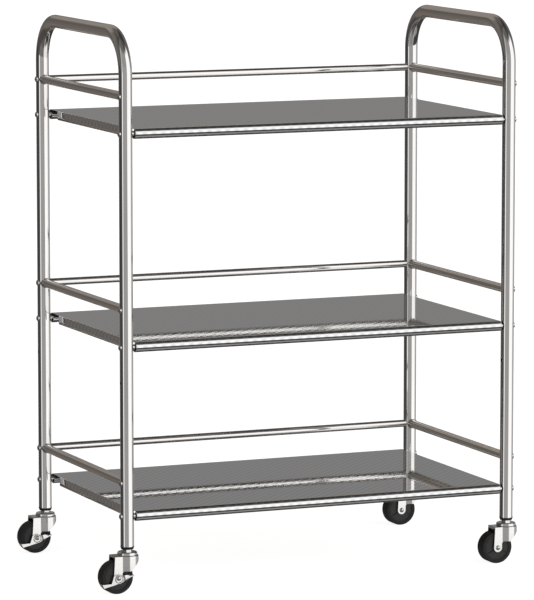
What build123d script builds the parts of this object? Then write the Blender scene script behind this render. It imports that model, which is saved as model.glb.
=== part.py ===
from build123d import *
import math
import os

# A knock-down food service trolley: two bent-tube end frames, three sheet shelves with rolled long
# edges, guard rails on the back and both ends, and four swivel stem casters, the left pair braked.
# Millimetres. +X runs along the shelves to the right, +Y to the back, +Z up.
# The origin is on the floor, at the centre of the four posts.

# Frame
POST_PITCH_LONG = 684.0  # between post axes, left to right
POST_PITCH_DEEP = 389.0  # between post axes, front to back
TROLLEY_HEIGHT = 921.0  # floor to the top of the handles
FRAME_TUBE_OD = 22.0
FRAME_TUBE_WALL = 1.0
HANDLE_BEND_R = 68.0  # to the tube's centre line
END_RAIL_OD = 14.3
BACK_RAIL_OD = 12.7
RAIL_WALL = 1.0
RAIL_END_GAP = 0.1  # between a bolted rail and its post

# Shelves, lowest first: height of the deck's top face, and of the rail's axis above it
LEVELS = ("lower", "middle", "upper")
DECK_TOP_Z = {"lower": 133.5, "middle": 410.5, "upper": 757.0}
RAIL_ABOVE_DECK = {"lower": 46.0, "middle": 52.4, "upper": 51.5}
SHEET = 0.8
ROLL_OD = 16.9  # the rolled front and back edges
ROLL_SLIT = 1.6  # where the curled edge stops short of the deck
ROLL_END_GAP = 3.0  # from the roll's end to the post
FLANGE_GAP = 1.8  # from the end flange to the post
FLANGE_DROP = 15.3
FLANGE_FOLD_R = 1.6  # outside the fold
CORNER_NOTCH = 37.5  # from the roll's axis to the start of the flange
SPARE_HOLE_BELOW_DECK = 66.0  # under the middle deck, for hanging that shelf lower

# Screws: button heads with a hexagon socket
SCREW_D = 4.9
SCREW_HOLE_D = 5.5
SCREW_THREAD_GAP = 0.05
HEAD_D = 9.5
HEAD_RIM = 0.9
HEAD_DOME = 1.9
SOCKET_FLATS = 3.0
SOCKET_DEPTH = 1.7
PLUG_REACH = 9.0  # how far a screw goes into its plug
PLUG_LENGTH = 12.0
PLUG_RECESS = 2.5  # plug face inside the end of the roll
SPACER_OD = 9.0  # sleeve round the screw, between post and plug
BLANKING_SCREW_LENGTH = 7.0

# Casters
WHEEL_D = 54.0
WHEEL_WIDTH = 22.0
TREAD_EDGE_R = 1.2
CORE_D = 41.6
CORE_WIDTH = 19.4
HUB_D = 15.0
HUB_WIDTH = 23.2
GROOVE_COUNT = 3
GROOVE_WIDTH = 2.0
GROOVE_DEPTH = 1.6
CASTER_TRAIL = 21.0  # swivel axis to axle
FORK_HEADROOM = 8.2  # wheel top to fork top
FORK_SHEET = 2.0
FORK_WIDTH = 28.0  # outside the legs
BELL_R = 18.3  # the fork's round front part, about the swivel axis
BELL_BLEND_R = 6.0  # where the legs run out into the bell
BELL_FOOT_RISE = 10.5  # axle to the bell's lower edge beside the legs
BELL_FOOT_LEAD = 3.0  # how far back up the leg that edge starts to turn
FORK_BACK = 26.3  # swivel axis to the back edge of the top plate
LEG_END_R = 7.3
FORK_NOSE_DROP = 6.7  # depth of the bell at its nose
FORK_EDGE_R = 1.5
AXLE_D = 6.0
AXLE_HEAD_D = 8.4
AXLE_HEAD_H = 2.8
SLEEVE_D = 8.4
RUNNING_GAP = 0.05  # radial, shafts in holes
PIVOT_GAP = 0.1  # radial, fork on its swivel pin
SWIVEL_PIN_D = 12.0
RIVET_D = 18.0
RIVET_H = 2.4
RIVET_GAP = 0.2
BALL_D = 4.0
BALL_COUNT = 12
BALL_RING_D = 22.4
BALL_GAP = 0.05
CUP_D = 32.8
CUP_SHEET = 1.5
CUP_EDGE_R = 2.8
CUP_SKIRT_GAP = 0.4
STEM_D = 10.0
STEM_ABOVE_FOOT = 24.0
HEX_FLATS = 14.0
HEX_H = 3.7
BUSH_LIP = 0.6  # how far the bush's flange stands out past the tube
BUSH_FLANGE_H = 4.5
BUSH_TAPER = 1.6
BUSH_DEPTH = 18.0
PRESS_GAP = 0.05  # radial, plugs and bushes in tubes

# Brake lever: a pressed plate outside the fork's front leg, turning on a cam set off the axle
LEVER_SHEET = 1.5
LEVER_SIDE_GAP = 0.3
LEVER_BOSS_R = 8.0
CAM_D = 9.6
CAM_THROW = 1.2
FOOT_ANGLE = 205.0  # from +X, seen along +Y
FOOT_SPAN = 13.0  # degrees round the tread
FOOT_REACH = 12.0  # across the tread
FOOT_GAP = 0.7  # to the tread when released
PEDAL_X = 24.0  # axle to the pedal's outer edge
PEDAL_Z = 5.0
PEDAL_LENGTH = 6.5
PEDAL_REACH = 10.0
LEVER_RING_R = 6.4  # raised ring round the axle head
LEVER_RING_W = 1.6
LEVER_RIDGE_R = 10.4  # stiffening ridge outside it, on the pedal's side
LEVER_RIDGE_W = 2.4

# Worked out from the sizes above
POST_X = POST_PITCH_LONG / 2
POST_Y = POST_PITCH_DEEP / 2
TUBE_R = FRAME_TUBE_OD / 2
TUBE_BORE_R = TUBE_R - FRAME_TUBE_WALL
HANDLE_Z = TROLLEY_HEIGHT - TUBE_R
BEND_START_Z = HANDLE_Z - HANDLE_BEND_R
ROLL_R = ROLL_OD / 2
ROLL_END_X = POST_X - TUBE_R - ROLL_END_GAP
FLANGE_X = POST_X - TUBE_R - FLANGE_GAP
FLANGE_Y = POST_Y - CORNER_NOTCH
AXLE_Z = WHEEL_D / 2
BELL_FOOT_Z = AXLE_Z + BELL_FOOT_RISE
FORK_TOP = WHEEL_D + FORK_HEADROOM
CUP_TOP = FORK_TOP + BALL_D + 2 * BALL_GAP + CUP_SHEET
HEX_TOP = CUP_TOP + HEX_H
POST_FOOT = HEX_TOP + BUSH_FLANGE_H
BUSH_FLANGE_R = TUBE_R + BUSH_LIP
LEG_OUT = FORK_WIDTH / 2
LEG_IN = LEG_OUT - FORK_SHEET
CAM_THICK = LEVER_SHEET + 2 * LEVER_SIDE_GAP

SIDES = {"left": -1, "right": 1}
ROWS = {"front": -1, "rear": 1}
CORNERS = [(f"{row}_{side}", sx, sy) for row, sy in ROWS.items() for side, sx in SIDES.items()]


def bar(axis, radius, low, high, at=(0.0, 0.0)):
    """A round bar along an axis from low to high. at holds its other two coordinates, in X, Y, Z order."""
    middle = (low + high) / 2
    rod = Cylinder(radius, high - low)
    if axis == "X":
        return Pos(middle, at[0], at[1]) * Rot(0, 90, 0) * rod
    if axis == "Y":
        return Pos(at[0], middle, at[1]) * Rot(90, 0, 0) * rod
    return Pos(at[0], at[1], middle) * rod


def tube(axis, outer_r, wall, low, high, at=(0.0, 0.0)):
    """A round tube along an axis from low to high."""
    return bar(axis, outer_r, low, high, at) - bar(axis, outer_r - wall, low, high, at)


def dome(radius, height):
    """A shallow round cap standing on Z = 0: an arc turned about Z."""
    ball_r = (radius**2 + height**2) / (2 * height)
    half_turn = math.asin(radius / ball_r) / 2
    shoulder = (ball_r * math.sin(half_turn), height - ball_r + ball_r * math.cos(half_turn))
    arc = ThreePointArc((radius, 0), shoulder, (0, height))
    profile = make_face([Line((0, 0), (radius, 0)), arc, Line((0, height), (0, 0))])
    return revolve(Plane.XZ * profile, Axis.Z)


def bolt_z(level):
    """Heights of a level's two rows of screws: into the shelf rolls, and at the rail."""
    deck = DECK_TOP_Z[level]
    return deck - ROLL_R, deck + RAIL_ABOVE_DECK[level]


def post_blank(sx, sy, gap=0.0):
    """The solid outline of a post, grown by a gap, used to cope what meets it."""
    return bar("Z", TUBE_R + gap, 0, TROLLEY_HEIGHT, (sx * POST_X, sy * POST_Y))


def cut_through_post(sx, sy, z, both_walls):
    """The bar that a screw hole takes out of a post, along X from outside."""
    outside = POST_X + FRAME_TUBE_OD
    inside = POST_X - FRAME_TUBE_OD if both_walls else POST_X
    low, high = sorted((sx * inside, sx * outside))
    return bar("X", SCREW_HOLE_D / 2, low, high, (sy * POST_Y, z))


def post(sx, sy):
    """One upright of an end frame, from the caster bush to the start of the handle bend."""
    shape = tube("Z", TUBE_R, FRAME_TUBE_WALL, POST_FOOT, BEND_START_Z, (sx * POST_X, sy * POST_Y))
    for level in LEVELS:
        roll_z, rail_z = bolt_z(level)
        shape -= cut_through_post(sx, sy, roll_z, True)
        shape -= cut_through_post(sx, sy, rail_z, sy > 0)
    return shape - cut_through_post(sx, sy, DECK_TOP_Z["middle"] - SPARE_HOLE_BELOW_DECK, True)


def handle(sx):
    """The bow on top of an end frame: a straight grip between two quarter bends."""
    x = sx * POST_X
    ring = Circle(TUBE_R) - Circle(TUBE_BORE_R)
    grip_y = POST_Y - HANDLE_BEND_R
    shape = tube("Y", TUBE_R, FRAME_TUBE_WALL, -grip_y, grip_y, (x, HANDLE_Z))
    for sy in ROWS.values():
        section = Plane((x, sy * POST_Y, BEND_START_Z), x_dir=(1, 0, 0), z_dir=(0, 0, 1)) * ring
        hinge = Axis((x, sy * grip_y, BEND_START_Z), (sy, 0, 0))
        shape += revolve(section, axis=hinge, revolution_arc=90)
    return shape


def end_rail(sx, level):
    """A guard rail between the two posts of one end, coped to them and welded."""
    at = (sx * POST_X, bolt_z(level)[1])
    shape = tube("Y", END_RAIL_OD / 2, RAIL_WALL, -POST_Y, POST_Y, at)
    for sy in ROWS.values():
        shape -= post_blank(sx, sy)
    return shape


def back_rail(level):
    """A guard rail between the two rear posts, coped to them and bolted."""
    shape = tube("X", BACK_RAIL_OD / 2, RAIL_WALL, -POST_X, POST_X, (POST_Y, bolt_z(level)[1]))
    for sx in SIDES.values():
        shape -= post_blank(sx, 1, RAIL_END_GAP)
    return shape


def shelf(level):
    """One sheet: a flat deck, its long edges rolled under, its ends folded down between the corners."""
    top = DECK_TOP_Z[level]
    roll_z = top - ROLL_R
    shape = Pos(0, 0, top - SHEET / 2) * Box(2 * ROLL_END_X, POST_PITCH_DEEP, SHEET)
    for sy in ROWS.values():
        y = sy * POST_Y
        roll = tube("X", ROLL_R, SHEET, -ROLL_END_X, ROLL_END_X, (y, roll_z))
        slit_y = y - sy * (ROLL_R - SHEET / 2)
        slit = Box(POST_PITCH_LONG, 2 * SHEET, ROLL_R - SHEET)
        shape += roll - Pos(0, slit_y, roll_z + (ROLL_R - SHEET) / 2 + ROLL_SLIT / 2) * slit
    shape += Pos(0, 0, top - SHEET / 2) * Box(2 * (FLANGE_X - FLANGE_FOLD_R), 2 * FLANGE_Y, SHEET)
    for sx in SIDES.values():
        fold_x = sx * (FLANGE_X - FLANGE_FOLD_R)
        fold_z = top - FLANGE_FOLD_R
        fold = tube("Y", FLANGE_FOLD_R, SHEET, -FLANGE_Y, FLANGE_Y, (fold_x, fold_z))
        quarter = Box(FLANGE_FOLD_R, 2 * FLANGE_Y, FLANGE_FOLD_R)
        fold &= Pos(fold_x + sx * FLANGE_FOLD_R / 2, 0, fold_z + FLANGE_FOLD_R / 2) * quarter
        drop = FLANGE_DROP - FLANGE_FOLD_R
        wall = Pos(sx * (FLANGE_X - SHEET / 2), 0, fold_z - drop / 2) * Box(SHEET, 2 * FLANGE_Y, drop)
        shape += fold + wall
    return shape


def threaded(shape, end_x, y, z):
    """A plug with the hole that takes its screw, along X."""
    hole = bar("X", SCREW_D / 2 + SCREW_THREAD_GAP, -PLUG_LENGTH - 1, 2 * PLUG_LENGTH)
    return shape - Pos(end_x, y, z) * Rot(0, 0, 0 if end_x > 0 else 180) * hole


def shelf_plug(sx, sy, level):
    """A nut plug pressed into a roll, its face a little inside the roll's end."""
    face = ROLL_END_X - PLUG_RECESS
    at = (sy * POST_Y, bolt_z(level)[0])
    body = bar("X", ROLL_R - SHEET - PRESS_GAP, face - PLUG_LENGTH, face)
    return threaded(Pos(0, *at) * Rot(0, 0, 0 if sx > 0 else 180) * body, sx * face, *at)


def shelf_spacer(sx, sy, level):
    """A steel sleeve round the screw, from the plug's face to the round side of the post."""
    at = (sy * POST_Y, bolt_z(level)[0])
    sleeve = tube("X", SPACER_OD / 2, (SPACER_OD - SCREW_HOLE_D) / 2, ROLL_END_X - PLUG_RECESS, POST_X)
    return Pos(0, *at) * Rot(0, 0, 0 if sx > 0 else 180) * sleeve - post_blank(sx, sy)


def rail_plug(sx, level):
    """A nut plug pressed into the end of a back rail."""
    at = (POST_Y, bolt_z(level)[1])
    radius = BACK_RAIL_OD / 2 - RAIL_WALL - PRESS_GAP
    body = bar("X", radius, POST_X - TUBE_R - PLUG_LENGTH, POST_X)
    shape = Pos(0, *at) * Rot(0, 0, 0 if sx > 0 else 180) * body
    return threaded(shape - post_blank(sx, 1, RAIL_END_GAP), sx * (POST_X - TUBE_R), *at)


def screw(sx, sy, z, length):
    """A button-head screw along X, its head's skirt shaped to the post's round side."""
    seat = TUBE_R + HEAD_RIM
    shape = bar("X", HEAD_D / 2, TUBE_R / 2, seat) - bar("Z", TUBE_R, -HEAD_D, HEAD_D)
    shape += Pos(seat, 0, 0) * Rot(0, 90, 0) * dome(HEAD_D / 2, HEAD_DOME)
    shape += bar("X", SCREW_D / 2, TUBE_R - length, seat)
    socket = extrude(RegularPolygon(SOCKET_FLATS / 2, 6, major_radius=False), SOCKET_DEPTH)
    shape -= Pos(seat + HEAD_DOME - SOCKET_DEPTH + 0.01, 0, 0) * Rot(0, 90, 0) * socket
    return Pos(sx * POST_X, sy * POST_Y, z) * Rot(0, 0, 0 if sx > 0 else 180) * shape


def stem_bush(sx, sy):
    """The plastic bush in the foot of a post, with a tapered flange under the tube's end."""
    flange = Cone(BUSH_FLANGE_R - BUSH_TAPER, BUSH_FLANGE_R, BUSH_FLANGE_H)
    shape = Pos(0, 0, POST_FOOT - BUSH_FLANGE_H / 2) * flange
    shape += bar("Z", TUBE_BORE_R - PRESS_GAP, POST_FOOT, POST_FOOT + BUSH_DEPTH)
    shape -= bar("Z", STEM_D / 2 + PRESS_GAP, 0, TROLLEY_HEIGHT)
    return Pos(sx * POST_X, sy * POST_Y, 0) * shape


def caster_stem():
    """The stem: a shank up into the bush, a hexagon, and the riveted pin that the fork turns on."""
    fork_underside = FORK_TOP - FORK_SHEET
    rivet_top = fork_underside - RIVET_GAP
    shape = bar("Z", STEM_D / 2, CUP_TOP, POST_FOOT + STEM_ABOVE_FOOT)
    shape += Pos(0, 0, CUP_TOP) * extrude(RegularPolygon(HEX_FLATS / 2, 6, major_radius=False), HEX_H)
    shape += bar("Z", SWIVEL_PIN_D / 2, rivet_top, CUP_TOP)
    return shape + Pos(0, 0, rivet_top - RIVET_H / 2) * Cone(RIVET_D / 2 - RIVET_H / 2, RIVET_D / 2, RIVET_H)


def race_cup():
    """The upper ball race: a pressed cup over the balls, fixed on the stem."""
    height = CUP_TOP - FORK_TOP - CUP_SKIRT_GAP
    blank = fillet(Cylinder(CUP_D / 2, height).edges().group_by(Axis.Z)[-1], CUP_EDGE_R)
    hollow = Cylinder(CUP_D / 2 - CUP_SHEET, height)
    hollow = fillet(hollow.edges().group_by(Axis.Z)[-1], CUP_EDGE_R - CUP_SHEET)
    shape = blank - Pos(0, 0, -CUP_SHEET) * hollow
    shape -= Cylinder(SWIVEL_PIN_D / 2 + RUNNING_GAP, 2 * height)
    return Pos(0, 0, CUP_TOP - height / 2) * shape


def ball_ring():
    """The ring of swivel balls between the fork's top plate and the race cup."""
    z = FORK_TOP + BALL_GAP + BALL_D / 2
    spots = PolarLocations(BALL_RING_D / 2, BALL_COUNT)
    return [Pos(0, 0, z) * spot * Sphere(BALL_D / 2) for spot in spots]


def channel_plan(inset):
    """The fork seen from above: two straight legs that run out into a round bell about the swivel axis."""
    half = LEG_OUT - inset
    back = FORK_BACK + LEG_END_R
    plan = Pos(-back / 2, 0) * Rectangle(back, 2 * half) + Circle(BELL_R - inset)
    meeting_x = -math.sqrt((BELL_R - inset) ** 2 - half**2)
    corners = [v for v in plan.vertices() if abs(v.X - meeting_x) < 0.01]
    return fillet(corners, BELL_BLEND_R + inset)


def fork():
    """The pressed fork: a top plate, two legs down to the axle, and a bell cut back towards its nose."""
    blank = fillet(extrude(channel_plan(0), FORK_TOP).edges().group_by(Axis.Z)[-1], FORK_EDGE_R)
    shape = blank - extrude(channel_plan(FORK_SHEET), FORK_TOP - FORK_SHEET)
    leg_front = -CASTER_TRAIL + LEG_END_R
    nose_x = BELL_R + 1
    side = Polyline(
        (-FORK_BACK, FORK_TOP),
        (-CASTER_TRAIL - LEG_END_R, AXLE_Z),
        (leg_front, AXLE_Z),
        (leg_front, BELL_FOOT_Z - BELL_FOOT_LEAD),
        (leg_front + BELL_FOOT_LEAD, BELL_FOOT_Z),
        (0, BELL_FOOT_Z),
        (nose_x, FORK_TOP - FORK_NOSE_DROP),
        (nose_x, FORK_TOP),
        close=True,
    )
    outline = make_face(side) + Pos(-CASTER_TRAIL, AXLE_Z) * Circle(LEG_END_R)
    shape &= extrude(Plane.XZ * outline, FORK_WIDTH, both=True)
    shape -= bar("Z", SWIVEL_PIN_D / 2 + PIVOT_GAP, AXLE_Z, 2 * FORK_TOP)
    return shape - bar("Y", AXLE_D / 2 + RUNNING_GAP, -FORK_WIDTH, FORK_WIDTH, (-CASTER_TRAIL, AXLE_Z))


def foot_direction():
    """The unit vector from the axle to the middle of the brake foot, as x and z."""
    return math.cos(math.radians(FOOT_ANGLE)), math.sin(math.radians(FOOT_ANGLE))


def cam_centre():
    """Where the lever's pivot lies: set off the axle square to the foot, so turning presses the foot in."""
    foot_x, foot_z = foot_direction()
    return -CASTER_TRAIL - CAM_THROW * foot_z, AXLE_Z + CAM_THROW * foot_x


def axle(braked):
    """The axle pin with a domed end outside each leg, and a cam under the front one where it is braked."""
    at = (-CASTER_TRAIL, AXLE_Z)
    front = LEG_OUT + (CAM_THICK if braked else 0)
    shape = bar("Y", AXLE_D / 2, -front, LEG_OUT, at)
    cap = dome(AXLE_HEAD_D / 2, AXLE_HEAD_H)
    shape += Pos(at[0], LEG_OUT, at[1]) * Rot(-90, 0, 0) * cap
    shape += Pos(at[0], -front, at[1]) * Rot(90, 0, 0) * cap
    if braked:
        shape += bar("Y", CAM_D / 2, -front, -LEG_OUT, cam_centre())
    return shape


def axle_sleeve():
    """The bearing sleeve that the legs clamp and the wheel runs on."""
    at = (-CASTER_TRAIL, AXLE_Z)
    return tube("Y", SLEEVE_D / 2, (SLEEVE_D - AXLE_D) / 2 - RUNNING_GAP, -LEG_IN, LEG_IN, at)


def wheel_core():
    """The moulded wheel centre: a disc with a hub and shallow radial grooves in both faces."""
    shape = Cylinder(CORE_D / 2, CORE_WIDTH) + Cylinder(HUB_D / 2, HUB_WIDTH)
    inner = HUB_D / 2 + GROOVE_WIDTH
    outer = CORE_D / 2 - GROOVE_WIDTH
    groove = Pos((inner + outer) / 2, 0, 0) * Box(outer - inner, GROOVE_WIDTH, 2 * GROOVE_DEPTH)
    for turn in PolarLocations(0, GROOVE_COUNT, start_angle=90):
        for face in (-1, 1):
            shape -= Pos(0, 0, face * CORE_WIDTH / 2) * turn * groove
    shape -= Cylinder(SLEEVE_D / 2 + RUNNING_GAP, 2 * HUB_WIDTH)
    return Pos(-CASTER_TRAIL, 0, AXLE_Z) * Rot(90, 0, 0) * shape


def tyre():
    """The tread ring moulded round the core."""
    shape = fillet(Cylinder(WHEEL_D / 2, WHEEL_WIDTH).edges().filter_by(GeomType.CIRCLE), TREAD_EDGE_R)
    shape -= Cylinder(CORE_D / 2, 2 * WHEEL_WIDTH)
    return Pos(-CASTER_TRAIL, 0, AXLE_Z) * Rot(90, 0, 0) * shape


def ring_ridge(radius, width, height):
    """A raised ring about Z, three-sided in section, standing on Z = 0."""
    low, high = radius - width / 2, radius + width / 2
    return revolve(Plane.XZ * make_face(Polyline((low, 0), (high, 0), (radius, height), close=True)), Axis.Z)


def brake_lever():
    """The brake lever: a boss on the cam, a foot bent in over the tread and a pedal bent outwards."""
    tread_r = WHEEL_D / 2 + FOOT_GAP
    foot_r = tread_r + LEVER_SHEET
    low, high = (math.radians(FOOT_ANGLE + turn * FOOT_SPAN / 2) for turn in (1, -1))
    pivot_x, pivot_z = cam_centre()[0] + CASTER_TRAIL, cam_centre()[1] - AXLE_Z
    blade = Polyline(
        (foot_r * math.cos(low), foot_r * math.sin(low)),
        (foot_r * math.cos(high), foot_r * math.sin(high)),
        (-LEVER_BOSS_R * 1.5, -LEVER_BOSS_R * 1.1),
        (-LEVER_BOSS_R, LEVER_BOSS_R / 2),
        (0, LEVER_BOSS_R * 0.9),
        (LEVER_BOSS_R * 1.2, PEDAL_Z - LEVER_SHEET / 2),
        (PEDAL_X, PEDAL_Z),
        (PEDAL_X, PEDAL_Z - 2 * LEVER_SHEET),
        (LEVER_BOSS_R, -LEVER_BOSS_R * 0.8),
        (-LEVER_BOSS_R * 0.6, -LEVER_BOSS_R * 1.3),
        close=True,
    )
    outline = make_face(blade) + Pos(pivot_x, pivot_z) * Circle(LEVER_BOSS_R)
    plate_y = -LEG_OUT - LEVER_SIDE_GAP
    shape = Pos(0, plate_y, 0) * extrude(Plane.XZ * outline, LEVER_SHEET)
    ring = (Circle(foot_r) - Circle(tread_r)) & make_face(
        Polyline(
            (0, 0),
            (2 * foot_r * math.cos(low), 2 * foot_r * math.sin(low)),
            (2 * foot_r * math.cos(high), 2 * foot_r * math.sin(high)),
            close=True,
        )
    )
    shape += Pos(0, plate_y, 0) * extrude(Plane.XZ * ring, LEVER_SHEET)
    shape += Pos(0, plate_y, 0) * extrude(Plane.XZ * ring, -FOOT_REACH)
    pedal = Box(PEDAL_LENGTH, PEDAL_REACH, LEVER_SHEET)
    pedal_y = plate_y - LEVER_SHEET - PEDAL_REACH / 2
    shape += Pos(PEDAL_X - PEDAL_LENGTH / 2, pedal_y, PEDAL_Z - LEVER_SHEET / 2) * pedal
    seat = Pos(pivot_x, plate_y - LEVER_SHEET, pivot_z) * Rot(90, 0, 0)
    ridge = seat * ring_ridge(LEVER_RIDGE_R, LEVER_RIDGE_W, LEVER_SHEET / 2)
    pedal_side = Pos(LEVER_RIDGE_R + LEVER_BOSS_R / 2, 0) * Rectangle(2 * LEVER_RIDGE_R, 4 * LEVER_RIDGE_R)
    ridge &= Pos(0, plate_y, 0) * extrude(Plane.XZ * (outline & pedal_side), 2 * LEVER_SHEET)
    shape += ridge + seat * ring_ridge(LEVER_RING_R, LEVER_RING_W, LEVER_SHEET / 2)
    shape -= bar("Y", CAM_D / 2 + RUNNING_GAP, -FORK_WIDTH, 0, (pivot_x, pivot_z))
    return Pos(-CASTER_TRAIL, 0, AXLE_Z) * shape


def save(node, solids):
    """Writes one node, made of one solid or a group of separate ones."""
    group = solids if isinstance(solids, list) else [solids]
    shapes = [solid for shape in group for solid in shape.solids()]
    shape = shapes[0] if len(shapes) == 1 else Compound(children=shapes)
    shape.label = node
    export_step(shape, f"parts/{node}.step")


os.makedirs("parts", exist_ok=True)

for corner, sx, sy in CORNERS:
    save(f"{corner}_post", post(sx, sy))
for side, sx in SIDES.items():
    save(f"{side}_handle", handle(sx))
    for level in LEVELS:
        save(f"{side}_{level}_rail", end_rail(sx, level))
for level in LEVELS:
    save(f"back_{level}_rail", back_rail(level))
    save(f"{level}_shelf", shelf(level))

through = FRAME_TUBE_OD + ROLL_END_GAP + PLUG_RECESS + PLUG_REACH
shelf_ends = [(sx, sy, level) for _, sx, sy in CORNERS for level in LEVELS]
rail_ends = [(sx, level) for sx in SIDES.values() for level in LEVELS]
save("shelf_plugs", [shelf_plug(*end) for end in shelf_ends])
save("shelf_spacers", [shelf_spacer(*end) for end in shelf_ends])
save("shelf_screws", [screw(sx, sy, bolt_z(level)[0], through) for sx, sy, level in shelf_ends])
save("rail_plugs", [rail_plug(*end) for end in rail_ends])
save("rail_screws", [screw(sx, 1, bolt_z(level)[1], FRAME_TUBE_OD + PLUG_REACH) for sx, level in rail_ends])
save("blanking_screws", [screw(sx, -1, bolt_z(level)[1], BLANKING_SCREW_LENGTH) for sx, level in rail_ends])
save("stem_bushes", [stem_bush(sx, sy) for _, sx, sy in CORNERS])

for corner, sx, sy in CORNERS:
    braked = sx < 0
    place = Pos(sx * POST_X, sy * POST_Y, 0)
    save(f"{corner}_stem", place * caster_stem())
    save(f"{corner}_race_cup", place * race_cup())
    save(f"{corner}_balls", [place * ball for ball in ball_ring()])
    save(f"{corner}_fork", place * fork())
    save(f"{corner}_axle", place * axle(braked))
    save(f"{corner}_sleeve", place * axle_sleeve())
    save(f"{corner}_wheel_core", place * wheel_core())
    save(f"{corner}_tyre", place * tyre())
    if braked:
        save(f"{corner}_brake_lever", place * brake_lever())
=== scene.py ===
import math

import bpy
import numpy as np
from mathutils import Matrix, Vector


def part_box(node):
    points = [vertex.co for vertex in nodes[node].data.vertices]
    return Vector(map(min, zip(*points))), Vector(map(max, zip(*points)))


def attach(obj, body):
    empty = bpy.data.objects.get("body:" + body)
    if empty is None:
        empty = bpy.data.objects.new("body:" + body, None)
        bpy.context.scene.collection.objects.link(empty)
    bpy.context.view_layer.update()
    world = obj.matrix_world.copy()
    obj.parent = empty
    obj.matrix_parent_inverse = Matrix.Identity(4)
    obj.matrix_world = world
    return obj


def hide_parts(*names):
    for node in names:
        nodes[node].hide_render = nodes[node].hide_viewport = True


# A three-shelf food service trolley of polished stainless tube and sheet on four swivel casters.
# Metres. The origin is on the floor, at the centre of the four posts; +Y is the trolley's back.
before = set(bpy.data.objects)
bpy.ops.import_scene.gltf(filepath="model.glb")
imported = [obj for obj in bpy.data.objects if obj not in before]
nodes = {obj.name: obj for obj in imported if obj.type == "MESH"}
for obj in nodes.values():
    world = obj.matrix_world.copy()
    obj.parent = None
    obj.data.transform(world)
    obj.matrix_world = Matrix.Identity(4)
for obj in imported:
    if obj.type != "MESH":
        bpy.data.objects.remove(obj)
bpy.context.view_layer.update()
mm = 0.001

# --- Studio ---------------------------------------------------------------------------------------
# A pale seamless floor, a tall soft light on the right in front, and a dim grey room round it, which
# is what polished steel shows. None of it is part of the trolley.
CAMERA_YAW = math.radians(22.8727)
CAMERA_PITCH = math.radians(7.4565)
CAMERA_PLACE = (-2.864076, -6.757863, 1.399479)
CAMERA_LENS = 263.39  # mm, on a 36 mm sensor
ROOM_STRENGTH = 1.15
FLOOR_GLOW = 0.88  # keeps the paper white under the trolley, with only a faint shadow


def linear(code):
    """An sRGB hex colour as linear RGBA: each channel is taken back along the sRGB curve."""
    channels = [int(code[i : i + 2], 16) / 255 for i in (1, 3, 5)]
    return (*[c / 12.92 if c <= 0.04045 else ((c + 0.055) / 1.055) ** 2.4 for c in channels], 1.0)


def add(tree, kind, inputs=None, stops=None, **settings):
    """One node with its settings. An input given a socket is linked to it; any other is set."""
    made = tree.nodes.new(kind)
    for name, value in settings.items():
        setattr(made, name, value)
    for name, value in (inputs or {}).items():
        if isinstance(value, bpy.types.NodeSocket):
            tree.links.new(value, made.inputs[name])
        else:
            made.inputs[name].default_value = value
    for number, (place, colour) in enumerate(stops or []):
        band = made.color_ramp.elements
        stop = band[number] if number < 2 else band.new(place)
        stop.position = place
        stop.color = colour
    return made


# Bearings in degrees round the room, 0 towards the camera and + to its right. Each pair is the start
# and end of one even grey, with a blend to the next. The first and last pairs are straight behind.
ROOM_EDGES = (
    *(-180, -175, -168, -125, -115, -95, -88, -58, -56, -45),
    *(-42, 29, 32, 95, 98, 128, 140, 168, 175, 180),
)


def room_band(codes):
    """Colour stops for one height of the room, from its greys in the order of the pairs of edges."""
    last = len(codes)
    return [((edge + 180) / 360, linear(codes[i // 2 % last])) for i, edge in enumerate(ROOM_EDGES)]


room = bpy.data.worlds.new("studio_room")
bpy.context.scene.world = room
room.use_nodes = True
tree = room.node_tree
tree.nodes.clear()
direction = add(tree, "ShaderNodeTexCoord").outputs["Generated"]
right_axis = (math.cos(CAMERA_YAW), -math.sin(CAMERA_YAW), 0)
front_axis = (-math.sin(CAMERA_YAW), -math.cos(CAMERA_YAW), 0)
to_right = add(tree, "ShaderNodeVectorMath", {0: direction, 1: right_axis}, operation="DOT_PRODUCT")
to_front = add(tree, "ShaderNodeVectorMath", {0: direction, 1: front_axis}, operation="DOT_PRODUCT")
bearing = add(
    tree, "ShaderNodeMath", {0: to_right.outputs["Value"], 1: to_front.outputs["Value"]}, operation="ARCTAN2"
)
share = add(
    tree, "ShaderNodeMapRange", {"Value": bearing.outputs[0], "From Min": -math.pi, "From Max": math.pi}
).outputs["Result"]
climb = add(tree, "ShaderNodeSeparateXYZ", {0: direction}).outputs["Z"]
# Each layer: the heights in degrees between which it takes over, and its nine greys. They are straight
# behind, behind on the left, three round the left, in front, the soft light, right, and behind on the
# right.
LAYERS = (
    (None, "4c4a48 4c4a48 444240 484644 505050 585858 8a8a8a 3c3c3c 404040"),
    ((-48, -38), "6a635d 6a635d 4a4644 4a4846 707070 6a6a6a 3e3e3e 383838 303030"),
    ((-15, -11), "625e5b 625e5b 303030 484848 ffffff 989898 ffffff a8a8a8 808080"),
    ((0, 3), "7c7b7a 595552 6a6662 5c5a58 d8d8d8 989898 ffffff a0a0a0 8a8a8a"),
    ((4, 12), "7b7a7a 5c5854 6a6662 5c5a58 c8c8c8 989898 ffffff 8c8c8c 747474"),
    ((13, 20), "88817a 88817a 6a6560 5a5754 b4b4b4 909090 ffffff 5e5c5a 5a5856"),
    ((40, 58), "5c5854 5c5854 504e4b 484644 707070 606060 4a4a4a 383838 343434"),
)
light = None
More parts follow.
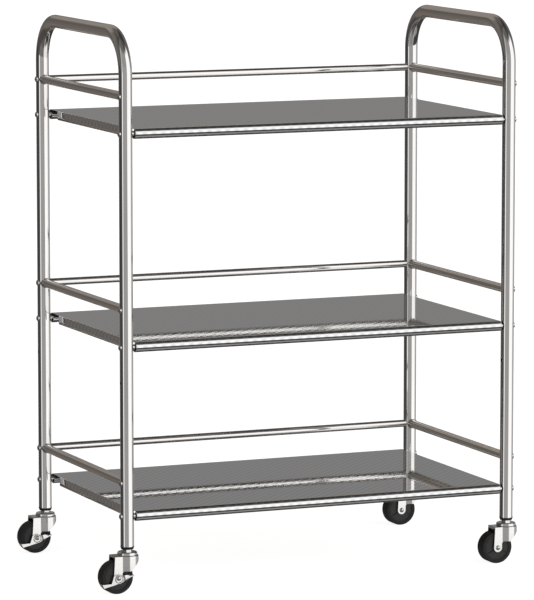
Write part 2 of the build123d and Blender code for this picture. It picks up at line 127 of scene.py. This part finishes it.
for span, codes in LAYERS:
    stops = room_band([f"#{code}" for code in codes.split()])
    band = add(tree, "ShaderNodeValToRGB", {"Fac": share}, stops=stops).outputs["Color"]
    if span is None:
        light = band
        continue
    low, high = (math.sin(math.radians(angle)) for angle in span)
    rise = add(
        tree,
        "ShaderNodeMapRange",
        {"Value": climb, "From Min": low, "From Max": high},
        interpolation_type="SMOOTHSTEP",
    )
    light = add(
        tree, "ShaderNodeMix", {0: rise.outputs["Result"], 6: light, 7: band}, data_type="RGBA"
    ).outputs[2]
shown = add(tree, "ShaderNodeLightPath").outputs["Is Camera Ray"]
room_light = add(tree, "ShaderNodeBackground", {"Color": light, "Strength": ROOM_STRENGTH})
backdrop = add(tree, "ShaderNodeBackground", {"Color": linear("#ffffff"), "Strength": 1.0})
mixed = add(tree, "ShaderNodeMixShader", {0: shown, 1: room_light.outputs[0], 2: backdrop.outputs[0]})
add(tree, "ShaderNodeOutputWorld", {"Surface": mixed.outputs[0]})
bpy.context.scene.view_settings.view_transform = "Standard"

floor_mesh = bpy.data.meshes.new("floor")
reach = 60.0
floor_mesh.from_pydata(
    [(-reach, -reach, 0), (reach, -reach, 0), (reach, reach, 0), (-reach, reach, 0)], [], [(0, 1, 2, 3)]
)
floor = bpy.data.objects.new("floor", floor_mesh)
bpy.context.scene.collection.objects.link(floor)
floor.visible_glossy = False
paper = bpy.data.materials.new("matt_white_floor_paper")
paper.use_nodes = True
tree = paper.node_tree
tree.nodes.clear()
glow = add(tree, "ShaderNodeEmission", {"Color": linear("#ffffff"), "Strength": FLOOR_GLOW})
matt = add(tree, "ShaderNodeBsdfDiffuse", {"Color": linear("#f4f4f4")})
both = add(tree, "ShaderNodeAddShader", {0: glow.outputs[0], 1: matt.outputs[0]})
add(tree, "ShaderNodeOutputMaterial", {"Surface": both.outputs[0]})
floor_mesh.materials.append(paper)

camera = bpy.data.objects.new("camera", bpy.data.cameras.new("camera"))
bpy.context.scene.collection.objects.link(camera)
camera.location = CAMERA_PLACE
camera.rotation_euler = (math.pi / 2 - CAMERA_PITCH, 0, -CAMERA_YAW)
camera.data.sensor_width = 36.0
camera.data.lens = CAMERA_LENS
camera.data.clip_end = 200.0
bpy.context.scene.camera = camera

# --- End frames -----------------------------------------------------------------------------------
# Each end is one 22 mm stainless tube, bent twice into a tall bow, then polished bright. It stands
# on the caster bushes and is drilled right through for the screws and for a spare shelf height; only the
# spare holes are made here.
BOW_R = 68.0 * mm  # bend, to the tube's centre line
TUBE_WALL = 1.0 * mm
ROUND = 64  # columns round the tube
SPARE_DROP = 66.0 * mm  # spare hole under the middle deck
SPARE_R = 2.75 * mm
PATCH_COLUMNS = 4  # each side of a hole
PATCH_ROWS = np.array([-4.5, -3.0, -1.5, 0.0, 1.5, 3.0, 4.5]) * mm


def skins(name, grids, finish, sharp=35):
    """One mesh from grids of points, each (points, along, around, closed_along, closed_round, keep).
    A quad joins each point to its neighbours in the next row and column, and a closed grid's last
    row or column joins its first. along and around are the UVs, in metres. keep marks quads to keep."""
    verts, quads, uvs, start = [], [], [], 0
    for points, along, around, closed_along, closed_round, keep in grids:
        rows, columns = points.shape[:2]
        i, j = np.meshgrid(
            np.arange(rows - (not closed_along)), np.arange(columns - (not closed_round)), indexing="ij"
        )
        corners = ((i, j), (i + 1, j), (i + 1, j + 1), (i, j + 1))
        quad = np.stack([start + (a % rows) * columns + b % columns for a, b in corners], -1).reshape(-1, 4)
        uv = np.stack([np.stack([along[a], around[b]], -1) for a, b in corners], -2).reshape(-1, 4, 2)
        kept = np.ones(len(quad), bool) if keep is None else keep.reshape(-1)
        verts.append(points.reshape(-1, 3))
        quads.append(quad[kept])
        uvs.append(uv[kept])
        start += rows * columns
    verts, quads, uvs = (np.concatenate(x) for x in (verts, quads, uvs))
    same = np.round(verts / (0.001 * mm)).astype(np.int64)
    _, first, merged = np.unique(same, axis=0, return_index=True, return_inverse=True)
    quads = merged.reshape(-1)[quads]
    used, quads = np.unique(quads, return_inverse=True)
    verts = verts[first][used]
    mesh = bpy.data.meshes.new(name)
    mesh.from_pydata(verts.tolist(), [], quads.reshape(-1, 4).tolist())
    mesh.uv_layers.new(name="UVMap").data.foreach_set("uv", uvs.astype(np.float32).ravel())
    mesh.polygons.foreach_set("use_smooth", np.ones(len(mesh.polygons), bool))
    mesh.set_sharp_from_angle(angle=math.radians(sharp))
    mesh.materials.append(finish)
    made = bpy.data.objects.new(name, mesh)
    bpy.context.scene.collection.objects.link(made)
    return made


def tube_ring(centres, tangents, radius, level_axis=(1.0, 0.0, 0.0)):
    """Points on a round tube: centre + radius x (cos t of the fixed axis + sin t of axis x tangent)."""
    turn = np.arange(ROUND) * 2 * np.pi / ROUND
    fixed = np.broadcast_to(np.array(level_axis), tangents.shape)
    side = np.cross(fixed, tangents)
    spokes = np.cos(turn)[None, :, None] * fixed[:, None] + np.sin(turn)[None, :, None] * side[:, None]
    return centres[:, None] + radius * spokes


def bow_path(x, y, foot, bend_z, holes):
    """The bow's centre line in the plane X = x: up, a quarter turn, along the grip, and down again.
    Rows gather at the holes. Gives centres, unit tangents and the length run so far."""
    grip = y - BOW_R
    levels = np.concatenate([np.linspace(foot, bend_z, 14)] + [hole + PATCH_ROWS for hole in holes])
    gap = np.min([np.abs(levels - hole) for hole in holes], axis=0)
    inside = np.isin(levels, np.concatenate([hole + PATCH_ROWS for hole in holes]))
    levels = np.sort(levels[inside | (gap > PATCH_ROWS[-1] + mm)])
    turn = np.linspace(0, np.pi / 2, 25)[1:-1]
    reach = np.linspace(-grip, grip, 9)
    up = np.stack([np.full_like(levels, -y), levels], -1)
    rise = np.stack([-grip - BOW_R * np.cos(turn), bend_z + BOW_R * np.sin(turn)], -1)
    over = np.stack([reach, np.full_like(reach, bend_z + BOW_R)], -1)
    line = np.concatenate([up, rise, over])
    half = np.concatenate([up, rise])[::-1] * (-1, 1)
    line = np.concatenate([line, half])
    lean = np.concatenate([np.zeros(len(up)), turn, np.full(len(over), np.pi / 2)])
    lean = np.concatenate([lean, (np.pi - lean[: len(half)])[::-1]])
    centres = np.column_stack([np.full(len(line), x), line])
    tangents = np.column_stack([np.zeros(len(lean)), np.sin(lean), np.cos(lean)])
    run = np.concatenate([[0], np.cumsum(np.linalg.norm(np.diff(centres, axis=0), axis=1))])
    return centres, tangents, run


def drilled(centre, tangent, radius, bore, facing):
    """The wall round a hole drilled along X. A square ring of the tube's own columns and rows shrinks
    in equal steps to the circle, goes through the wall, and spreads again on the inside."""
    step = 2 * np.pi / ROUND
    columns = np.arange(-PATCH_COLUMNS, PATCH_COLUMNS + 1) * step
    rows = PATCH_ROWS
    square = [(columns[-1], r) for r in rows[:-1]] + [(c, rows[-1]) for c in columns[:0:-1]]
    square += [(columns[0], r) for r in rows[:0:-1]] + [(c, rows[0]) for c in columns[:-1]]
    square = np.array(square)
    angle = np.arctan2(square[:, 1] / rows[-1], square[:, 0] / columns[-1])
    rings = []
    for skin_r, shares in ((radius, (0, 0.4, 0.75, 1)), (bore, (1, 0.6, 0))):
        circle = np.stack([np.arcsin(SPARE_R * np.cos(angle) / skin_r), SPARE_R * np.sin(angle)], -1)
        for share in shares:
            rings.append((skin_r, square * (1 - share) + circle * share))
    side = np.cross((1.0, 0.0, 0.0), tangent)
    points = np.stack(
        [
            centre
            + skin_r * np.cos(facing + at[:, :1]) * np.array((1.0, 0.0, 0.0))
            + skin_r * np.sin(facing + at[:, :1]) * side
            + at[:, 1:] * tangent
            for skin_r, at in rings
        ]
    )
    return points, np.zeros(len(rings)), np.zeros(len(angle) + 1), False, True, None


def draw_lines(tree, uv, along, around, detail=3.0):
    """Fine lines along the surface: a noise stretched to so many per metre along and around it."""
    stretched = add(tree, "ShaderNodeMapping", {"Vector": uv, "Scale": (along, around, 1.0)})
    return add(
        tree, "ShaderNodeTexNoise", {"Vector": stretched.outputs[0], "Scale": 1.0, "Detail": detail}
    ).outputs["Fac"]


# Grade 201 stainless tube, drawn and belt-polished bright: sharp reflections, a little dulled in
# fine lines along the tube (about 1.5 mm apart here, coarser than real so that they show).
bright_tube = bpy.data.materials.new("belt_polished_stainless_tube")
bright_tube.use_nodes = True
tree = bright_tube.node_tree
steel = tree.nodes["Principled BSDF"]
uv = add(tree, "ShaderNodeUVMap", uv_map="UVMap").outputs["UV"]
lines = draw_lines(tree, uv, 6, 700)
shine = add(tree, "ShaderNodeMapRange", {"Value": lines, "To Min": 0.03, "To Max": 0.07})
tint = add(
    tree, "ShaderNodeValToRGB", {"Fac": lines}, stops=[(0.3, linear("#eae7e4")), (0.7, linear("#f3f1ef"))]
)
grooves = add(tree, "ShaderNodeBump", {"Height": lines, "Strength": 0.05, "Distance": 0.02 * mm})
steel.inputs["Metallic"].default_value = 1.0
tree.links.new(shine.outputs["Result"], steel.inputs["Roughness"])
tree.links.new(tint.outputs["Color"], steel.inputs["Base Color"])
tree.links.new(grooves.outputs["Normal"], steel.inputs["Normal"])

deck_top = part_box("middle_shelf")[1].z
for side in ("left", "right"):
    low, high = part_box(f"front_{side}_post")
    bend_z = high.z
    x, y, radius = (low.x + high.x) / 2, -(low.y + high.y) / 2, (high.x - low.x) / 2
    hole_z = deck_top - SPARE_DROP
    centres, tangents, run = bow_path(x, y, low.z, bend_z, [hole_z])
    outside = tube_ring(centres, tangents, radius)
    inside = tube_ring(centres, tangents, radius - TUBE_WALL)[::-1]
    shell = np.concatenate([outside, inside])
    rows = len(shell)
    keep = np.ones((rows, ROUND), bool)
    holes = []
    for row in np.flatnonzero(np.isclose(centres[:, 2], hole_z, atol=1e-7)):
        for middle in (0, ROUND // 2):
            span = len(PATCH_ROWS) // 2
            across = np.arange(middle - PATCH_COLUMNS, middle + PATCH_COLUMNS) % ROUND
            keep[row - span : row + span, across] = False
            back = rows - 1 - row
            keep[back - span : back + span, across] = False
            facing = middle * 2 * np.pi / ROUND
            holes.append(drilled(centres[row], tangents[row], radius, radius - TUBE_WALL, facing))
    along = np.concatenate([run, run[::-1], run[:1]])
    around = np.arange(ROUND + 1) * 2 * np.pi / ROUND * radius
    end_frame = skins(
        f"{side}_end_frame", [(shell, along, around, True, True, keep)] + holes, bright_tube
    )
    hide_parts(f"front_{side}_post", f"rear_{side}_post", f"{side}_handle")
    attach(end_frame, "frame")

# --- Guard rails ----------------------------------------------------------------------------------
# The end rails are 14 mm tube coped to the posts and welded, with a small bead dressed smooth. The
# back rails are 13 mm tube, coped too, and held by screws through the rear posts into nut plugs.
RAIL_WALL = 1.0 * mm
BEAD = 1.3 * mm
COPE_GAP = 0.1 * mm  # a bolted rail stops this far short of its post
PLAIN_RINGS = 9  # rings along the straight middle of a rail
PLAIN_SHARE = 0.8  # how much of the rail they cover


def coped_rail(name, axis, centre, radius, post_line, post_r, bead, finish):
    """A tube between two posts. Along its axis each column runs to where it meets the post's round
    side, post_line - sqrt(post_r^2 - offset^2); a bead flares the last few rows out to the post."""
    turn = np.arange(ROUND) * 2 * np.pi / ROUND
    across, up = np.cos(turn), np.sin(turn)
    grids = []
    end_scale = bead or mm
    backs = np.array([0, 0.12, 0.3, 0.55, 1.0, 2.5, 8.0]) * end_scale
    for skin_r, flare in ((radius, bead), (radius - RAIL_WALL, 0.0)):
        spread = flare * np.clip(1 - backs / end_scale, 0, 1) ** 2
        sizes = skin_r + spread
        ends = post_line - np.sqrt(post_r**2 - (sizes[:, None] * across) ** 2) - backs[:, None]
        plain = np.linspace(-PLAIN_SHARE, PLAIN_SHARE, PLAIN_RINGS)[:, None] * ends[-1:]
        reach = np.concatenate([-ends, plain, ends[::-1]])
        sizes = np.concatenate([sizes, np.full(PLAIN_RINGS, skin_r), sizes[::-1]])
        offset = sizes[:, None] * across
        height = sizes[:, None] * up
        if axis == "Y":
            points = np.stack([centre[0] - offset, reach, centre[2] + height], -1)
        else:
            points = np.stack([reach, centre[1] + offset, centre[2] + height], -1)
        grids.append(points)
    shell = np.concatenate([grids[0], grids[1][::-1]])
    lengthwise = shell[:, 0, 1 if axis == "Y" else 0]
    run = np.abs(lengthwise - lengthwise[0])
    around = np.arange(ROUND + 1) * 2 * np.pi / ROUND * radius
    return skins(name, [(shell, np.append(run, run[0]), around, True, True, None)], finish, 50)


# The same stainless in thinner tube, polished before the ends are cut: a touch brighter and sharper.
bright_rail = bpy.data.materials.new("mirror_polished_stainless_rail")
bright_rail.use_nodes = True
tree = bright_rail.node_tree
steel = tree.nodes["Principled BSDF"]
uv = add(tree, "ShaderNodeUVMap", uv_map="UVMap").outputs["UV"]
lines = draw_lines(tree, uv, 5, 900)
shine = add(tree, "ShaderNodeMapRange", {"Value": lines, "To Min": 0.025, "To Max": 0.06})
tint = add(
    tree, "ShaderNodeValToRGB", {"Fac": lines}, stops=[(0.3, linear("#ebe8e5")), (0.7, linear("#f4f2f0"))]
)
steel.inputs["Metallic"].default_value = 1.0
tree.links.new(shine.outputs["Result"], steel.inputs["Roughness"])
tree.links.new(tint.outputs["Color"], steel.inputs["Base Color"])

post_low, post_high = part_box("front_left_post")
post_r = (post_high.x - post_low.x) / 2
post_x, post_y = -(post_low.x + post_high.x) / 2, -(post_low.y + post_high.y) / 2
for level in ("lower", "middle", "upper"):
    for side in ("left", "right"):
        low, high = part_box(f"{side}_{level}_rail")
        centre, radius = (low + high) / 2, (high.z - low.z) / 2
        rail = coped_rail(
            f"{side}_{level}_guard_rail", "Y", centre, radius, post_y, post_r, BEAD, bright_rail
        )
        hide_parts(f"{side}_{level}_rail")
        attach(rail, "frame")
    low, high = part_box(f"back_{level}_rail")
    centre, radius = (low + high) / 2, (high.z - low.z) / 2
    rail = coped_rail(
        f"back_{level}_guard_rail", "X", centre, radius, post_x, post_r + COPE_GAP, 0.0, bright_rail
    )
    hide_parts(f"back_{level}_rail")
    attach(rail, "frame")

# --- Shelves --------------------------------------------------------------------------------------
# Each shelf is one sheet of bright stainless, 0.8 mm, embossed all over with low diamonds. Its long
# edges are rolled under into open tubes, and its ends fold down between the corners.
SHEET = 0.8 * mm
ROLL_R = 8.45 * mm
CURL = math.radians(275.4)  # how far the edge is rolled, from the top of the roll
ROLL_STEPS = 26
ROLL_END = 1.2 * mm  # the rolls stop this far inside the end flanges
FOLD_R = 1.6 * mm
FLANGE_HALF = 157.0 * mm
FLANGE_ROWS = np.array([5.0, 10.0, 15.3]) * mm  # below the fold, the last at the flange's edge
LENGTH_POINTS = 351  # along the deck between the folds
WIDTH_POINTS = 158  # across the deck as wide as the flanges
CORNER_POINTS = 18  # across the deck beside each corner notch
DIAMOND = 16.0 * mm  # one diamond of the emboss, along the shelf and across it
DIAMOND_RISE = 0.012 * mm
RIPPLE_DEEP = 0.03 * mm  # how far the rolling pinches a roll in, at most
RIPPLES = (41.0 * mm, 17.3 * mm)  # one for each pair of rollers


def rolled_sheet(name, low, high, finish):
    """One embossed sheet. Its section across the shelf is a rolled edge, the flat deck and a second
    roll; along the shelf the deck bends down at both ends. Embossing lifts each point along the
    sheet's face by rise x cos(2 pi x / diamond) x cos(2 pi v / diamond), v being the distance across
    it. The rolls are pinched in by a share of 1 - cos(2 pi x / ripple) for each of two ripples."""
    top, end = high.z, high.x
    axis_y = high.y - ROLL_R
    curl = np.linspace(-CURL, 0, ROLL_STEPS + 1)[:-1] + np.pi / 2
    deck = np.concatenate(
        [
            np.linspace(-axis_y, -FLANGE_HALF, CORNER_POINTS)[:-1],
            np.linspace(-FLANGE_HALF, FLANGE_HALF, WIDTH_POINTS),
            np.linspace(FLANGE_HALF, axis_y, CORNER_POINTS)[1:],
        ]
    )
    y = np.concatenate([-axis_y - ROLL_R * np.cos(curl), deck, (axis_y + ROLL_R * np.cos(curl))[::-1]])
    roll_z = top - ROLL_R + ROLL_R * np.sin(curl)
    z = np.concatenate([roll_z, np.full(len(deck), top), roll_z[::-1]])
    run = axis_y + ROLL_R * (np.pi / 2 - curl)
    v = np.concatenate([-run, deck, run[::-1]])
    face_y = np.concatenate([-np.cos(curl), np.zeros(len(deck)), np.cos(curl)[::-1]])
    face_z = np.concatenate([np.sin(curl), np.ones(len(deck)), np.sin(curl)[::-1]])
    straight = end - FOLD_R - mm / 2
    plain = np.linspace(-straight, straight, LENGTH_POINTS)
    fold = np.linspace(0, np.pi / 2, 6)
    tail_x = np.concatenate([end - FOLD_R + FOLD_R * np.sin(fold), np.full(len(FLANGE_ROWS), end)])
    tail_z = np.concatenate([FOLD_R * (np.cos(fold) - 1), -FLANGE_ROWS])
    x = np.concatenate([-tail_x[::-1], plain, tail_x])
    sink = np.concatenate([tail_z[::-1], np.zeros(len(plain)), tail_z])
    tail_run = end - FOLD_R + np.concatenate([FOLD_R * fold, FOLD_R * (np.pi / 2 - 1) + FLANGE_ROWS])
    run_x = np.concatenate([-tail_run[::-1], plain, tail_run])
    flat = np.concatenate([np.zeros(len(tail_x)), np.ones(len(plain)), np.zeros(len(tail_x))])
    fade = flat[:, None] * np.clip((np.abs(v).max() - np.abs(v)) / (4 * mm), 0, 1)
    rise = DIAMOND_RISE * fade * np.outer(np.cos(2 * np.pi * x / DIAMOND), np.cos(2 * np.pi * v / DIAMOND))
    angle = np.concatenate([curl, np.full(len(deck), np.pi / 2), curl[::-1]])
    lobes = np.clip(np.cos(angle), 0, 1) * (0.6 + 0.4 * np.cos(5 * angle))
    for share, ripple in zip((0.62, 0.38), RIPPLES):
        rise -= RIPPLE_DEEP * share * np.outer(0.5 - 0.5 * np.cos(2 * np.pi * x / ripple), lobes)
    tail = len(tail_x)
    reach = np.repeat(x[:, None], len(v), axis=1)
    reach[np.ix_([tail - 1, -tail], np.abs(v) > FLANGE_HALF + mm / 2)] = [[ROLL_END - end], [end - ROLL_END]]
    points = np.stack([reach, y + rise * face_y, z + rise * face_z + sink[:, None]], -1)
    keep = np.ones((len(x) - 1, len(v) - 1), bool)
    middle = (v[:-1] > -FLANGE_HALF - mm / 2) & (v[1:] < FLANGE_HALF + mm / 2)
    keep[: tail - 1] = middle
    keep[1 - tail :] = middle
    made = skins(name, [(points, run_x, v, False, False, keep)], finish, 60)
    wall = made.modifiers.new("sheet thickness", "SOLIDIFY")
    wall.thickness = SHEET
    wall.offset = -1
    wall.use_even_offset = True
    return made


# Bright annealed stainless sheet, pattern-rolled: a clear mirror, with painted shading of the emboss in its
# grey, which follows the diamonds, whose faint grid shows at 45 degrees, and a little dulled by the smears
# that a wiped shelf keeps.
bright_sheet = bpy.data.materials.new("embossed_bright_stainless_sheet")
bright_sheet.use_nodes = True
tree = bright_sheet.node_tree
steel = tree.nodes["Principled BSDF"]
uv = add(tree, "ShaderNodeUVMap", uv_map="UVMap").outputs["UV"]
split = add(tree, "ShaderNodeSeparateXYZ", {0: uv})
waves = []
for axis in ("X", "Y"):
    phase = add(
        tree, "ShaderNodeMath", {0: split.outputs[axis], 1: 2 * math.pi / DIAMOND}, operation="MULTIPLY"
    )
    waves.append(add(tree, "ShaderNodeMath", {0: phase.outputs[0]}, operation="COSINE").outputs[0])
diamonds = add(tree, "ShaderNodeMath", {0: waves[0], 1: waves[1]}, operation="MULTIPLY").outputs[0]
place = add(tree, "ShaderNodeTexCoord").outputs["Object"]
smears = add(tree, "ShaderNodeTexNoise", {"Vector": place, "Scale": 0.016 / mm, "Detail": 4.0}).outputs["Fac"]
shine = add(tree, "ShaderNodeMapRange", {"Value": smears, "To Min": 0.015, "To Max": 0.05})
# Painted shading of the emboss: the sheet's grey goes from 0.68 to 0.92 with the diamond pattern.
tint = add(
    tree,
    "ShaderNodeMapRange",
    {"Value": diamonds, "From Min": -1.0, "To Min": 0.68, "To Max": 0.92},
)
steel.inputs["Metallic"].default_value = 1.0
tree.links.new(shine.outputs["Result"], steel.inputs["Roughness"])
tree.links.new(tint.outputs["Result"], steel.inputs["Base Color"])

for level in ("lower", "middle", "upper"):
    shelf = rolled_sheet(f"{level}_embossed_shelf", *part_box(f"{level}_shelf"), bright_sheet)
    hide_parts(f"{level}_shelf")
    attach(shelf, "frame")

# --- Screws, plugs and bushes ---------------------------------------------------------------------
# Button-head stainless screws with a hexagon socket, a steel sleeve round each shelf screw, nylon nut
# plugs in the tube ends, and a black nylon bush in the foot of each post. Their CAD shapes stay, with
# their round faces shaded smooth.
rounding = bpy.data.node_groups.new("smooth_round_faces", "GeometryNodeTree")
rounding.interface.new_socket("Geometry", in_out="INPUT", socket_type="NodeSocketGeometry")
rounding.interface.new_socket("Geometry", in_out="OUTPUT", socket_type="NodeSocketGeometry")
given = add(rounding, "NodeGroupInput").outputs[0]
joined = add(rounding, "GeometryNodeMergeByDistance", {"Geometry": given, "Distance": 0.001 * mm})
smooth = add(rounding, "GeometryNodeSetShadeSmooth", {"Geometry": joined.outputs[0]}, domain="FACE")
bend = add(rounding, "GeometryNodeInputMeshEdgeAngle").outputs["Unsigned Angle"]
corner = add(rounding, "FunctionNodeCompare", {0: bend, 1: math.radians(32)}, operation="GREATER_THAN")
crisp = add(
    rounding,
    "GeometryNodeSetShadeSmooth",
    {"Geometry": smooth.outputs[0], "Selection": corner.outputs[0], "Shade Smooth": False},
    domain="EDGE",
)
add(rounding, "NodeGroupOutput", {0: crisp.outputs[0]})


def dress(names, finish):
    """Gives CAD nodes their finish and smooth shading of round faces, and leaves their shape alone."""
    for name in names:
        node = nodes[name]
        node.data.materials.clear()
        node.data.materials.append(finish)
        node.modifiers.new("smooth round faces", "NODES").node_group = rounding


# Cold-headed A2 stainless, tumbled: bright, with the faint peened grain of tumbling, about 0.4 mm.
head_steel = bpy.data.materials.new("tumbled_stainless_screw")
head_steel.use_nodes = True
tree = head_steel.node_tree
steel = tree.nodes["Principled BSDF"]
place = add(tree, "ShaderNodeTexCoord").outputs["Object"]
grain = add(tree, "ShaderNodeTexNoise", {"Vector": place, "Scale": 2.5 / mm, "Detail": 2.0}).outputs["Fac"]
shine = add(tree, "ShaderNodeMapRange", {"Value": grain, "To Min": 0.1, "To Max": 0.2})
peen = add(tree, "ShaderNodeBump", {"Height": grain, "Strength": 0.08, "Distance": 0.02 * mm})
tint = add(
    tree, "ShaderNodeValToRGB", {"Fac": grain}, stops=[(0.3, linear("#e2e0dd")), (0.7, linear("#efedeb"))]
)
steel.inputs["Metallic"].default_value = 1.0
tree.links.new(shine.outputs["Result"], steel.inputs["Roughness"])
tree.links.new(tint.outputs["Color"], steel.inputs["Base Color"])
tree.links.new(peen.outputs["Normal"], steel.inputs["Normal"])
dress(("shelf_screws", "rail_screws", "blanking_screws", "shelf_spacers"), head_steel)

# Black nylon, injection moulded in a spark-eroded tool: a fine matt grain with a low sheen.
black_nylon = bpy.data.materials.new("moulded_black_nylon")
black_nylon.use_nodes = True
tree = black_nylon.node_tree
nylon = tree.nodes["Principled BSDF"]
place = add(tree, "ShaderNodeTexCoord").outputs["Object"]
grain = add(tree, "ShaderNodeTexNoise", {"Vector": place, "Scale": 1.8 / mm, "Detail": 3.0}).outputs["Fac"]
shine = add(tree, "ShaderNodeMapRange", {"Value": grain, "To Min": 0.34, "To Max": 0.5})
pebble = add(tree, "ShaderNodeBump", {"Height": grain, "Strength": 0.15, "Distance": 0.03 * mm})
tint = add(
    tree, "ShaderNodeValToRGB", {"Fac": grain}, stops=[(0.3, linear("#161617")), (0.7, linear("#1f1f20"))]
)
nylon.inputs["IOR"].default_value = 1.53
tree.links.new(shine.outputs["Result"], nylon.inputs["Roughness"])
tree.links.new(tint.outputs["Color"], nylon.inputs["Base Color"])
tree.links.new(pebble.outputs["Normal"], nylon.inputs["Normal"])
dress(("shelf_plugs", "rail_plugs", "stem_bushes"), black_nylon)

# --- Casters --------------------------------------------------------------------------------------
# Stem casters with a pressed and plated fork, a cup over a ring of balls, and a moulded wheel. The
# left pair have a brake lever on a cam outside the fork's front leg.
CORNERS = ("front_left", "front_right", "rear_left", "rear_right")

# Mild steel pressings in bright zinc-nickel plate: a clear reflection, softened where the plating
# follows the drawn steel, in patches a few millimetres across.
plated = bpy.data.materials.new("bright_plated_pressed_steel")
plated.use_nodes = True
tree = plated.node_tree
steel = tree.nodes["Principled BSDF"]
place = add(tree, "ShaderNodeTexCoord").outputs["Object"]
patches = add(tree, "ShaderNodeTexNoise", {"Vector": place, "Scale": 0.26 / mm, "Detail": 4.0}).outputs["Fac"]
grain = add(tree, "ShaderNodeTexNoise", {"Vector": place, "Scale": 1.6 / mm, "Detail": 2.0}).outputs["Fac"]
shine = add(tree, "ShaderNodeMapRange", {"Value": patches, "To Min": 0.07, "To Max": 0.2})
orange_peel = add(tree, "ShaderNodeBump", {"Height": grain, "Strength": 0.06, "Distance": 0.02 * mm})
tint = add(
    tree, "ShaderNodeValToRGB", {"Fac": patches}, stops=[(0.3, linear("#e6e4e1")), (0.7, linear("#f1f0ee"))]
)
steel.inputs["Metallic"].default_value = 1.0
tree.links.new(shine.outputs["Result"], steel.inputs["Roughness"])
tree.links.new(tint.outputs["Color"], steel.inputs["Base Color"])
tree.links.new(orange_peel.outputs["Normal"], steel.inputs["Normal"])
dress([f"{corner}_{part}" for corner in CORNERS for part in ("stem", "race_cup", "fork", "axle")], plated)
dress(("front_left_brake_lever", "rear_left_brake_lever"), plated)

# Ground and lapped bearing steel, oiled: the brightest metal here, and even.
ball_steel = bpy.data.materials.new("lapped_bearing_steel")
ball_steel.use_nodes = True
tree = ball_steel.node_tree
steel = tree.nodes["Principled BSDF"]
place = add(tree, "ShaderNodeTexCoord").outputs["Object"]
oil = add(tree, "ShaderNodeTexNoise", {"Vector": place, "Scale": 0.5 / mm, "Detail": 2.0}).outputs["Fac"]
shine = add(tree, "ShaderNodeMapRange", {"Value": oil, "To Min": 0.03, "To Max": 0.12})
tint = add(
    tree, "ShaderNodeValToRGB", {"Fac": oil}, stops=[(0.35, linear("#c9c5bd")), (0.65, linear("#dedbd6"))]
)
steel.inputs["Metallic"].default_value = 1.0
tree.links.new(shine.outputs["Result"], steel.inputs["Roughness"])
tree.links.new(tint.outputs["Color"], steel.inputs["Base Color"])
dress([f"{corner}_{part}" for corner in CORNERS for part in ("balls", "sleeve")], ball_steel)

# Polypropylene wheel centre, moulded dark grey: satin, with faint flow marks from the hub outwards.
core_plastic = bpy.data.materials.new("moulded_grey_polypropylene")
core_plastic.use_nodes = True
tree = core_plastic.node_tree
plastic = tree.nodes["Principled BSDF"]
place = add(tree, "ShaderNodeTexCoord").outputs["Object"]
flow = add(tree, "ShaderNodeTexNoise", {"Vector": place, "Scale": 0.18 / mm, "Detail": 3.0}).outputs["Fac"]
grain = add(tree, "ShaderNodeTexNoise", {"Vector": place, "Scale": 2.2 / mm, "Detail": 2.0}).outputs["Fac"]
shine = add(tree, "ShaderNodeMapRange", {"Value": flow, "To Min": 0.3, "To Max": 0.45})
pebble = add(tree, "ShaderNodeBump", {"Height": grain, "Strength": 0.1, "Distance": 0.02 * mm})
tint = add(
    tree, "ShaderNodeValToRGB", {"Fac": flow}, stops=[(0.3, linear("#202021")), (0.7, linear("#2b2b2c"))]
)
plastic.inputs["IOR"].default_value = 1.49
tree.links.new(shine.outputs["Result"], plastic.inputs["Roughness"])
tree.links.new(tint.outputs["Color"], plastic.inputs["Base Color"])
tree.links.new(pebble.outputs["Normal"], plastic.inputs["Normal"])
dress([f"{corner}_wheel_core" for corner in CORNERS], core_plastic)

# Thermoplastic rubber tread: near black and matt, with a fine grain and paler scuffs where it rolls.
rubber = bpy.data.materials.new("black_thermoplastic_rubber")
rubber.use_nodes = True
tree = rubber.node_tree
tread = tree.nodes["Principled BSDF"]
place = add(tree, "ShaderNodeTexCoord").outputs["Object"]
scuff = add(tree, "ShaderNodeTexNoise", {"Vector": place, "Scale": 0.42 / mm, "Detail": 5.0}).outputs["Fac"]
grain = add(tree, "ShaderNodeTexNoise", {"Vector": place, "Scale": 2.6 / mm, "Detail": 2.0}).outputs["Fac"]
shine = add(tree, "ShaderNodeMapRange", {"Value": scuff, "To Min": 0.45, "To Max": 0.68})
pebble = add(tree, "ShaderNodeBump", {"Height": grain, "Strength": 0.2, "Distance": 0.03 * mm})
tint = add(
    tree, "ShaderNodeValToRGB", {"Fac": scuff}, stops=[(0.3, linear("#0f0f10")), (0.75, linear("#1d1d1e"))]
)
tread.inputs["IOR"].default_value = 1.5
tree.links.new(shine.outputs["Result"], tread.inputs["Roughness"])
tree.links.new(tint.outputs["Color"], tread.inputs["Base Color"])
tree.links.new(pebble.outputs["Normal"], tread.inputs["Normal"])
dress([f"{corner}_tyre" for corner in CORNERS], rubber)
